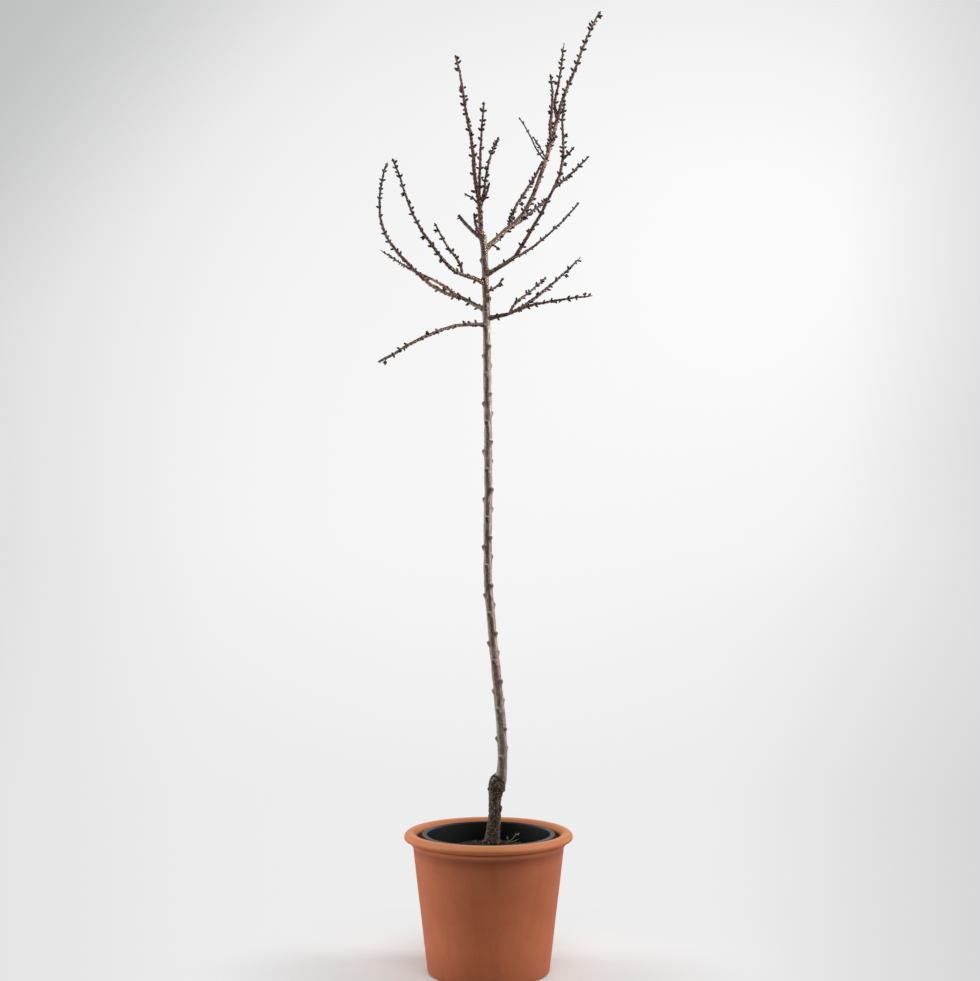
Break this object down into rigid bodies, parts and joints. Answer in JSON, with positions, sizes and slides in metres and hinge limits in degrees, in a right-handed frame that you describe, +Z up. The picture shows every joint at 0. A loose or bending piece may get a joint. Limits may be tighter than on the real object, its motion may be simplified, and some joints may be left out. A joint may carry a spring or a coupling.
{
  "type": "potted apricot tree",
  "caption": "Grafted standard moniqui apricot tree, bare and in bud, in a nursery container that stands inside a rolled-rim terracotta pot.",
  "frame": {"origin": "centre of the pot's flat underside", "axes": "+Z up along the pot's axis and the trunk, +X to the right and +Y away from the viewer in the view that shows the graft's cut on the left"},
  "size_m": [0.4892, 0.4774, 2.0585],
  "materials": {
    "terracotta": "matte unglazed clay with a faint bloom",
    "black_plastic": "satin",
    "potting_soil": "rough and damp",
    "bark": "matte bark with lenticels",
    "young_bark": "satin young bark",
    "shoots": "satin one-year wood with dark buds"
  },
  "bodies": {
    "root": {"terracotta_pot": "terracotta", "nursery_container": "black_plastic", "potting_soil": "potting_soil", "trunk": "bark", "bough_low_left": "young_bark", "bough_low_right": "young_bark", "bough_middle_left": "young_bark", "bough_upper_left": "young_bark", "bough_middle_right": "young_bark", "bough_middle_right_upper": "young_bark", "bough_high_right": "young_bark", "bough_high_right_upper": "young_bark", "bough_pruned_left": "young_bark", "twigs_low_left": "shoots", "twigs_low_right": "shoots", "twigs_middle_left": "shoots", "twigs_upper_left": "shoots", "twigs_small_right": "shoots", "twigs_middle_right": "shoots", "twigs_middle_right_top": "shoots", "twigs_high_right_top": "shoots", "twigs_high_right_front": "shoots", "twigs_high_right_back": "shoots", "twigs_high_right_spur": "shoots", "twigs_leader_low": "shoots", "twigs_leader_left": "shoots", "twigs_leader_right": "shoots", "twigs_leader_top": "shoots"}
  },
  "joints": []
}
